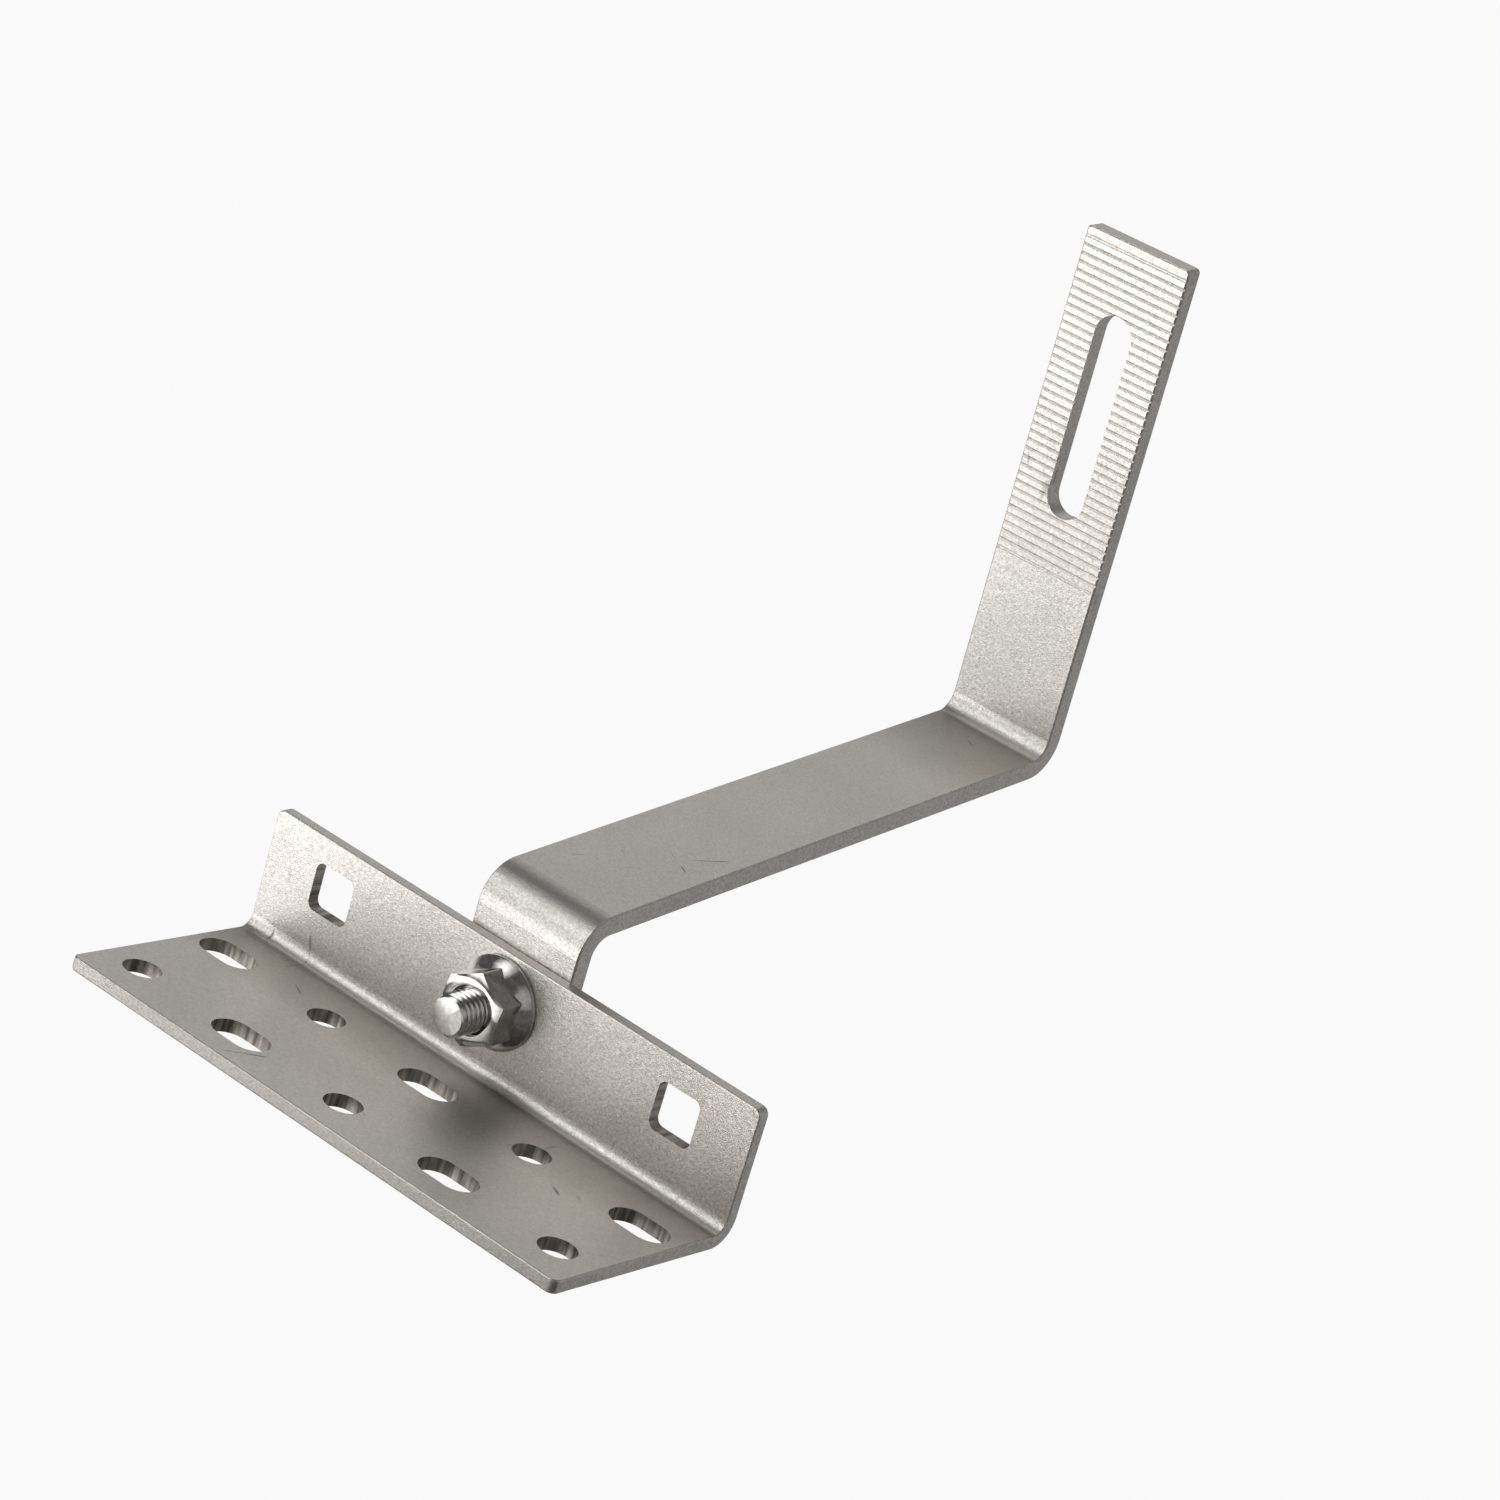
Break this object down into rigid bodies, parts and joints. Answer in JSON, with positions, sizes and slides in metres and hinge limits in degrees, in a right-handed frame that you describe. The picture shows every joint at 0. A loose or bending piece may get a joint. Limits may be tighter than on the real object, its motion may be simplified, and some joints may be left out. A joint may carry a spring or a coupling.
{
  "type": "solar roof hook",
  "caption": "Steel roof hook for solar rails: slotted base plate with upright flange, bent flat arm and serrated rail plate with a long slot, clamped by a carriage bolt and flange nut",
  "frame": {"origin": "centre of the base plate's underside, midway between the two hole rows", "axes": "+X along the base plate, +Y up the roof from the base's front edge towards the arm and rail plate, +Z away from the rafter"},
  "size_m": [0.145, 0.2292, 0.1991],
  "materials": {
    "blasted_steel": "shot-blasted stainless steel, warm grey, fine speckle",
    "polished_steel": "bright plated fastener steel"
  },
  "bodies": {
    "root": {"base_plate": "blasted_steel", "hook_arm": "blasted_steel", "carriage_bolt": "polished_steel", "flange_nut": "polished_steel"}
  },
  "joints": []
}
